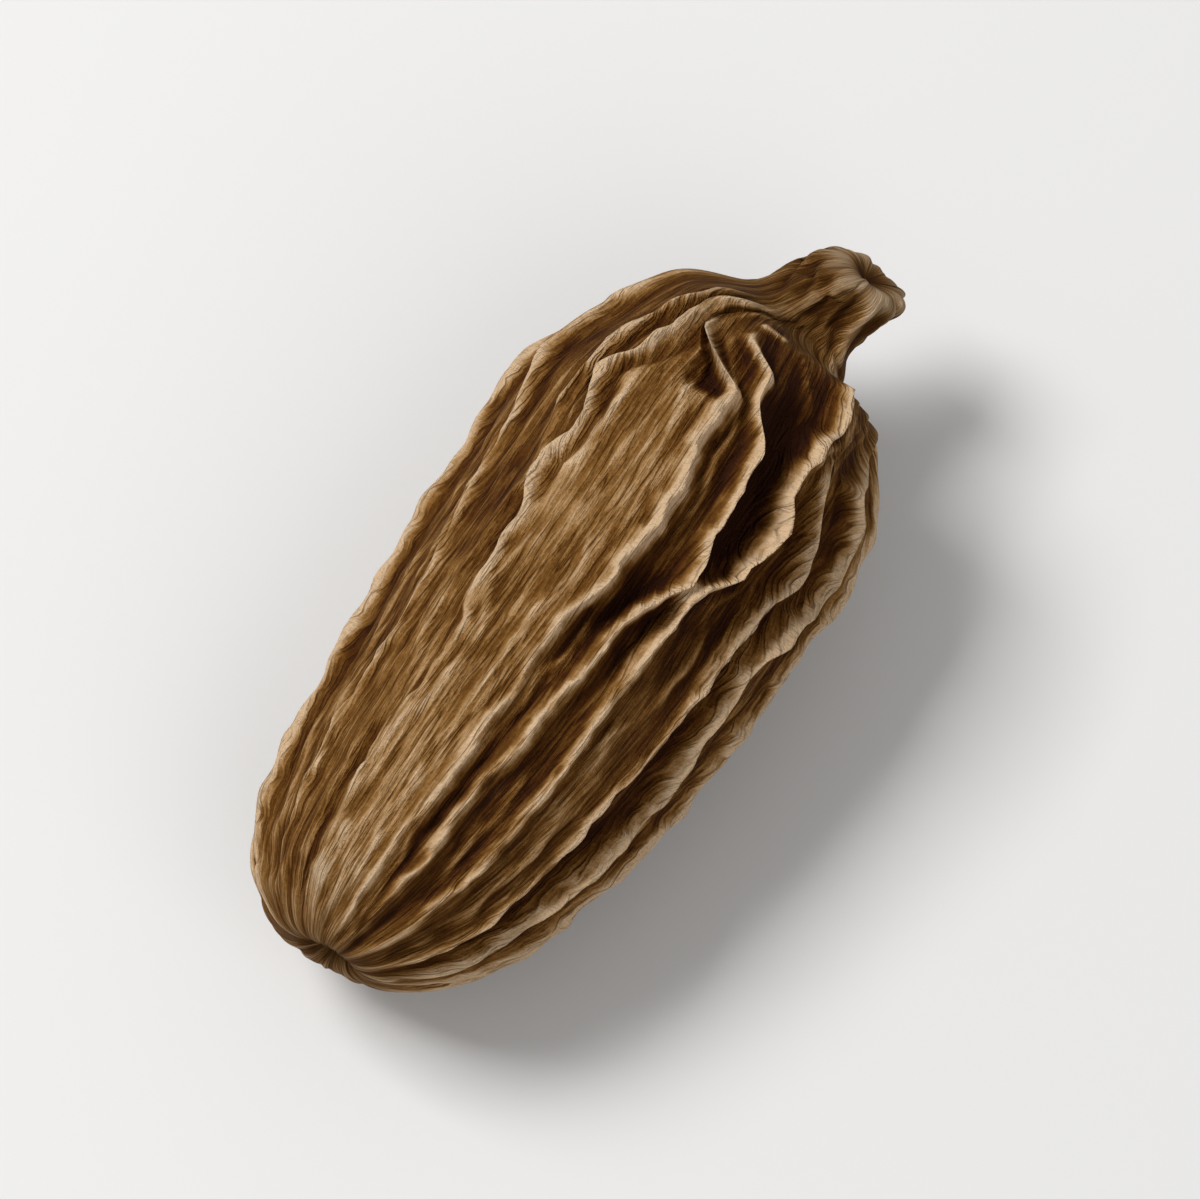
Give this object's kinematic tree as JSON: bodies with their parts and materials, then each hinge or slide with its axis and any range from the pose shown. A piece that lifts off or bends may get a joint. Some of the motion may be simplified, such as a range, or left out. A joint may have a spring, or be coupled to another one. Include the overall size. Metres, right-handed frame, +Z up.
{
  "type": "black cardamom pod",
  "caption": "Dried black cardamom pod lying on its side: a plump wrinkled capsule with raised wavy crests, a bent beak at one end and a puckered stem scar at the other.",
  "frame": {"origin": "under the middle of the pod's box, on the surface that it lies on", "axes": "+X along the pod from the stem scar to the beak, +Z up"},
  "size_m": [0.0234, 0.0108, 0.0097],
  "materials": {
    "husk": "matte fibrous dried husk, tan along the crests and dark brown in the hollows"
  },
  "bodies": {
    "root": {"pod": "husk"}
  },
  "joints": []
}
